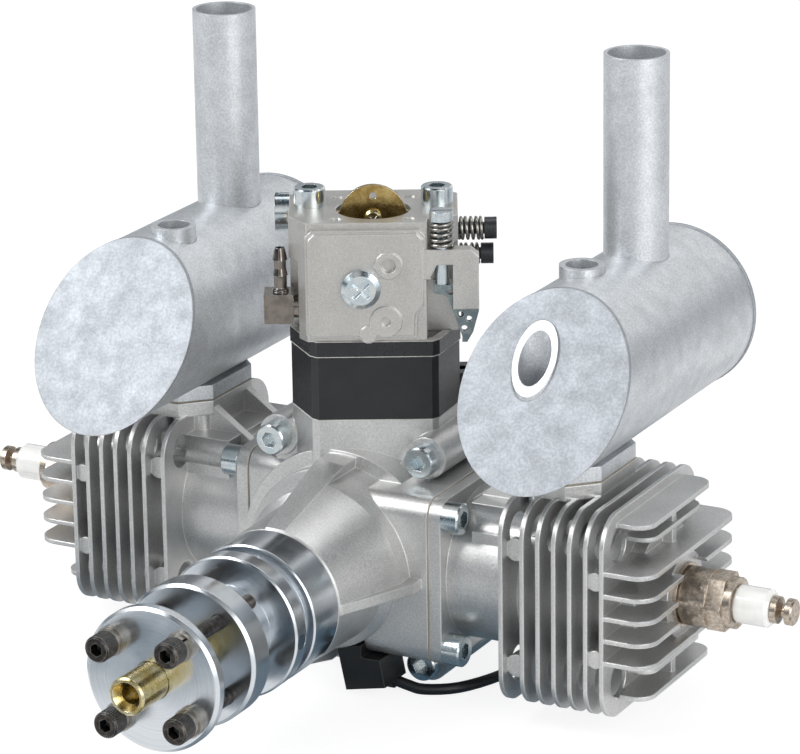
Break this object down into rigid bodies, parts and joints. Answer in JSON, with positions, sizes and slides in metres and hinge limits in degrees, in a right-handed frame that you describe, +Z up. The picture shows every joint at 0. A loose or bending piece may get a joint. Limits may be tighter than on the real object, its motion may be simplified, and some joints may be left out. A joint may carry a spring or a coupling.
{
  "type": "flat twin two-stroke model aircraft engine",
  "caption": "Flat twin two-stroke petrol engine for model aircraft, with finned cylinders, angled mufflers, a top carburettor, propeller hub and a turning crank.",
  "frame": {"origin": "centre of the four firewall bolt holes on the crank axis, in the plane where the rear bosses meet the firewall", "axes": "+X to the right along the cylinders, +Y towards the firewall, so the propeller points to -Y, +Z up to the carburettor"},
  "size_m": [0.2502, 0.2218, 0.1667],
  "materials": {
    "cast_aluminium": "bead-blasted",
    "machined_aluminium": "polished",
    "muffler_aluminium": "satin",
    "bare_aluminium": "machined",
    "bare_steel": "ground",
    "ring_steel": "ground",
    "zinc_steel": "zinc plated",
    "yellow_zinc": "yellow zinc plated",
    "dark_steel": "black oxide",
    "nickel_steel": "nickel plated",
    "brass_parts": "dull nickel plated",
    "insulator_black": "moulded",
    "needle_black": "anodised",
    "seal_rubber": "moulded",
    "gasket_paper": "pressed",
    "plug_ceramic": "glazed",
    "sensor_plastic": "moulded",
    "lead_plastic": "extruded"
  },
  "bodies": {
    "engine_block": {"crankcase": "cast_aluminium", "rear_cover": "cast_aluminium", "case_bolts": "zinc_steel", "gaskets": "gasket_paper", "bearing_outer_rings": "bare_steel", "bearing_balls": "bare_steel", "shaft_seal": "seal_rubber", "cylinder_right": "cast_aluminium", "cylinder_left": "cast_aluminium", "cylinder_bolts": "zinc_steel", "plug_shells": "nickel_steel", "plug_ceramics": "plug_ceramic", "plug_terminals": "nickel_steel", "muffler_can_right": "muffler_aluminium", "muffler_can_left": "muffler_aluminium", "muffler_end_plates": "muffler_aluminium", "muffler_flanges": "muffler_aluminium", "muffler_tubes": "muffler_aluminium", "insulator_block": "insulator_black", "insulator_plate": "insulator_black", "reed_block": "bare_aluminium", "carb_body": "cast_aluminium", "pump_cover": "cast_aluminium", "metering_cover": "cast_aluminium", "carb_screws": "zinc_steel", "cover_screws": "zinc_steel", "adjuster_springs": "bare_steel", "fuel_elbow": "brass_parts", "sensor_body": "sensor_plastic", "sensor_lead": "lead_plastic", "lead_coil": "lead_plastic", "lead_plug": "sensor_plastic"},
    "crank": {"crankshaft_front": "bare_steel", "crank_mid_web": "bare_steel", "crankshaft_rear": "bare_steel", "bearing_inner_rings": "bare_steel", "drive_hub": "machined_aluminium", "hub_magnet": "bare_steel", "prop_stud": "yellow_zinc", "prop_washer": "machined_aluminium", "prop_bolts": "dark_steel", "prop_bolt_washers": "dark_steel"},
    "piston_set_right": {"piston_right": "bare_aluminium", "con_rod_right": "bare_aluminium", "crank_pin_right": "bare_steel", "wrist_pin_right": "bare_steel", "piston_rings_right": "ring_steel"},
    "piston_set_left": {"piston_left": "bare_aluminium", "con_rod_left": "bare_aluminium", "crank_pin_left": "bare_steel", "wrist_pin_left": "bare_steel", "piston_rings_left": "ring_steel"},
    "choke": {"choke_shaft": "yellow_zinc", "choke_plate": "yellow_zinc"},
    "throttle": {"throttle_shaft": "bare_steel", "throttle_plate": "yellow_zinc", "throttle_lever": "zinc_steel"},
    "idle_adjuster": {"idle_screw": "zinc_steel"},
    "high_needle": {"needle_high": "needle_black"},
    "low_needle": {"needle_low": "needle_black"}
  },
  "joints": [
    {"name": "crank_spin", "type": "hinge", "parent": "engine_block", "child": "crank", "pos_m": [0, -0.044, 0], "axis": [0, -1, 0], "continuous": true},
    {"name": "piston_right_slide", "type": "slide", "parent": "engine_block", "child": "piston_set_right", "axis": [-1, 0, 0], "range_m": [0, 0.03]},
    {"name": "piston_left_slide", "type": "slide", "parent": "engine_block", "child": "piston_set_left", "axis": [1, 0, 0], "range_m": [0, 0.03]},
    {"name": "choke_turn", "type": "hinge", "parent": "engine_block", "child": "choke", "pos_m": [0.00157, -0.04702, 0.0896], "axis": [0.887, 0.4617, 0], "range_deg": [0, 85]},
    {"name": "throttle_turn", "type": "hinge", "parent": "engine_block", "child": "throttle", "pos_m": [0.00157, -0.04702, 0.066], "axis": [0.887, 0.4617, 0], "range_deg": [0, 60]},
    {"name": "idle_screw_turn", "type": "hinge", "parent": "engine_block", "child": "idle_adjuster", "pos_m": [0.02387, -0.05108, 0.0846], "axis": [0, 0, 1], "range_deg": [-360, 360]},
    {"name": "high_needle_turn", "type": "hinge", "parent": "engine_block", "child": "high_needle", "pos_m": [0.01609, -0.02661, 0.0827], "axis": [0.887, 0.4617, 0], "range_deg": [-540, 540]},
    {"name": "low_needle_turn", "type": "hinge", "parent": "engine_block", "child": "low_needle", "pos_m": [0.01609, -0.02661, 0.0757], "axis": [0.887, 0.4617, 0], "range_deg": [-540, 540]}
  ],
  "couplings": [
    {"joint": "piston_left_slide", "follows": "piston_right_slide", "ratio": 1}
  ]
}
